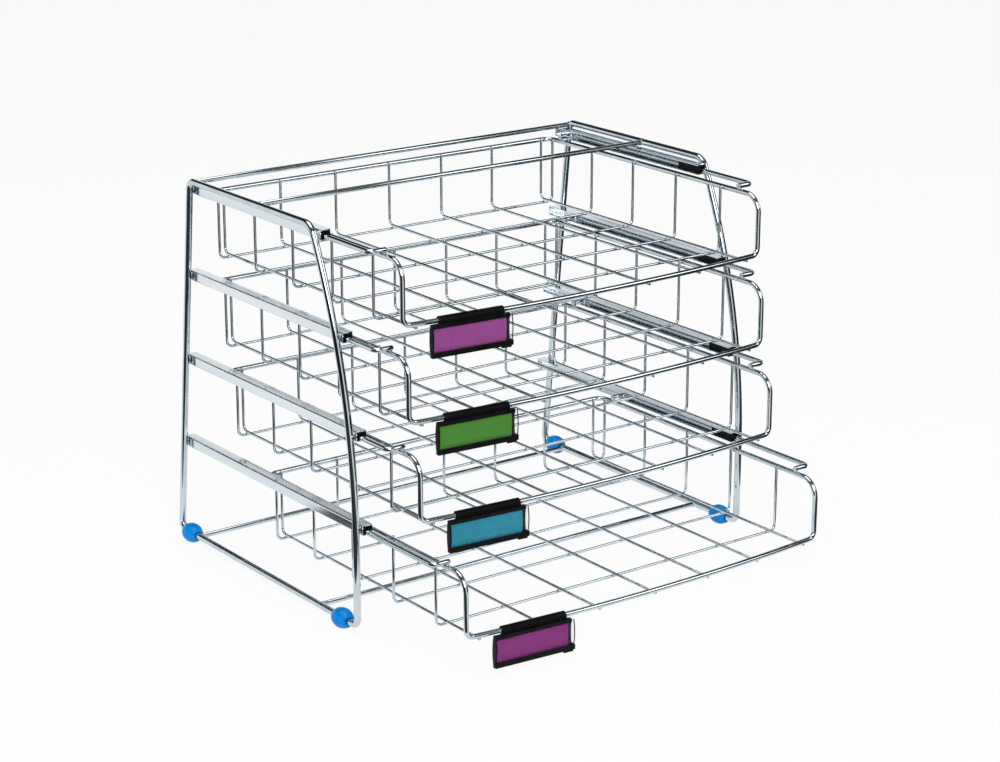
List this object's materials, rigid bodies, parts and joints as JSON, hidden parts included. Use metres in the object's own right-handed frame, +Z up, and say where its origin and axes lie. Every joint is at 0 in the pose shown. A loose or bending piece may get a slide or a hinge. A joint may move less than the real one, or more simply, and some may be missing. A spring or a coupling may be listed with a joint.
{
  "type": "letter tray",
  "caption": "Desk-top rack of chrome wire letter trays: curved side frames carry channel runners, each basket slides forward, and a label holder swings on its front wire.",
  "frame": {"origin": "on the desk, at the middle of the outline seen from above", "axes": "+Z up, -Y to the front where the trays pull out, X across"},
  "size_m": [0.39, 0.388, 0.3071],
  "materials": {
    "chrome_wire": "bright chrome plate",
    "runner_steel": "plated sheet, slightly dull",
    "blue_plastic": "smooth moulded",
    "black_plastic": "satin moulded",
    "clear_window": "clear plastic sheet",
    "top_card": "paper card",
    "second_card": "paper card",
    "third_card": "paper card",
    "bottom_card": "paper card"
  },
  "bodies": {
    "rack": {"left_side_loop": "chrome_wire", "right_side_loop": "chrome_wire", "rear_top_crossbar": "chrome_wire", "middle_top_crossbar": "chrome_wire", "rear_bottom_crossbar": "chrome_wire", "front_bottom_crossbar": "chrome_wire", "left_front_foot": "blue_plastic", "left_rear_foot": "blue_plastic", "right_front_foot": "blue_plastic", "right_rear_foot": "blue_plastic", "top_left_runner": "runner_steel", "top_right_runner": "runner_steel", "second_left_runner": "runner_steel", "second_right_runner": "runner_steel", "third_left_runner": "runner_steel", "third_right_runner": "runner_steel", "bottom_left_runner": "runner_steel", "bottom_right_runner": "runner_steel", "top_left_bush": "black_plastic", "top_right_bush": "black_plastic", "second_left_bush": "black_plastic", "second_right_bush": "black_plastic", "third_left_bush": "black_plastic", "third_right_bush": "black_plastic", "bottom_left_bush": "black_plastic", "bottom_right_bush": "black_plastic"},
    "top_tray": {"top_tray_rim": "chrome_wire", "top_tray_cross_wires": "chrome_wire", "top_tray_long_wires": "chrome_wire", "top_left_slide_rod": "chrome_wire", "top_right_slide_rod": "chrome_wire"},
    "top_label": {"top_tray_label_holder": "black_plastic", "top_tray_label_window": "clear_window"},
    "top_card": {"top_tray_label_card": "top_card"},
    "second_tray": {"second_tray_rim": "chrome_wire", "second_tray_cross_wires": "chrome_wire", "second_tray_long_wires": "chrome_wire", "second_left_slide_rod": "chrome_wire", "second_right_slide_rod": "chrome_wire"},
    "second_label": {"second_tray_label_holder": "black_plastic", "second_tray_label_window": "clear_window"},
    "second_card": {"second_tray_label_card": "second_card"},
    "third_tray": {"third_tray_rim": "chrome_wire", "third_tray_cross_wires": "chrome_wire", "third_tray_long_wires": "chrome_wire", "third_left_slide_rod": "chrome_wire", "third_right_slide_rod": "chrome_wire"},
    "third_label": {"third_tray_label_holder": "black_plastic", "third_tray_label_window": "clear_window"},
    "third_card": {"third_tray_label_card": "third_card"},
    "bottom_tray": {"bottom_tray_rim": "chrome_wire", "bottom_tray_cross_wires": "chrome_wire", "bottom_tray_long_wires": "chrome_wire", "bottom_left_slide_rod": "chrome_wire", "bottom_right_slide_rod": "chrome_wire"},
    "bottom_label": {"bottom_tray_label_holder": "black_plastic", "bottom_tray_label_window": "clear_window"},
    "bottom_card": {"bottom_tray_label_card": "bottom_card"}
  },
  "joints": [
    {"name": "top_tray_slide", "type": "slide", "parent": "rack", "child": "top_tray", "axis": [0, -1, 0], "range_m": [-0.013, 0.142]},
    {"name": "top_label_swing", "type": "hinge", "parent": "top_tray", "child": "top_label", "pos_m": [-0.1126, -0.10966, 0.245], "axis": [-0.9971, 0.0762, 0], "range_deg": [-10, 75]},
    {"name": "top_card_slide", "type": "slide", "parent": "top_label", "child": "top_card", "axis": [0.9971, -0.0762, 0], "range_m": [0, 0.05]},
    {"name": "second_tray_slide", "type": "slide", "parent": "rack", "child": "second_tray", "axis": [0, -1, 0], "range_m": [-0.028, 0.163]},
    {"name": "second_label_swing", "type": "hinge", "parent": "second_tray", "child": "second_label", "pos_m": [-0.1126, -0.11617, 0.1738], "axis": [-0.9971, 0.0762, 0], "range_deg": [-10, 75]},
    {"name": "second_card_slide", "type": "slide", "parent": "second_label", "child": "second_card", "axis": [0.9971, -0.0762, 0], "range_m": [0, 0.05]},
    {"name": "third_tray_slide", "type": "slide", "parent": "rack", "child": "third_tray", "axis": [0, -1, 0], "range_m": [-0.032, 0.165]},
    {"name": "third_label_swing", "type": "hinge", "parent": "third_tray", "child": "third_label", "pos_m": [-0.1126, -0.12967, 0.1026], "axis": [-0.9971, 0.0762, 0], "range_deg": [-10, 75]},
    {"name": "third_card_slide", "type": "slide", "parent": "third_label", "child": "third_card", "axis": [0.9971, -0.0762, 0], "range_m": [0, 0.05]},
    {"name": "bottom_tray_slide", "type": "slide", "parent": "rack", "child": "bottom_tray", "axis": [0, -1, 0], "range_m": [-0.081, 0.116]},
    {"name": "bottom_label_swing", "type": "hinge", "parent": "bottom_tray", "child": "bottom_label", "pos_m": [-0.1126, -0.18516, 0.0314], "axis": [-0.9971, 0.0762, 0], "range_deg": [-10, 75]},
    {"name": "bottom_card_slide", "type": "slide", "parent": "bottom_label", "child": "bottom_card", "axis": [0.9971, -0.0762, 0], "range_m": [0, 0.05]}
  ]
}
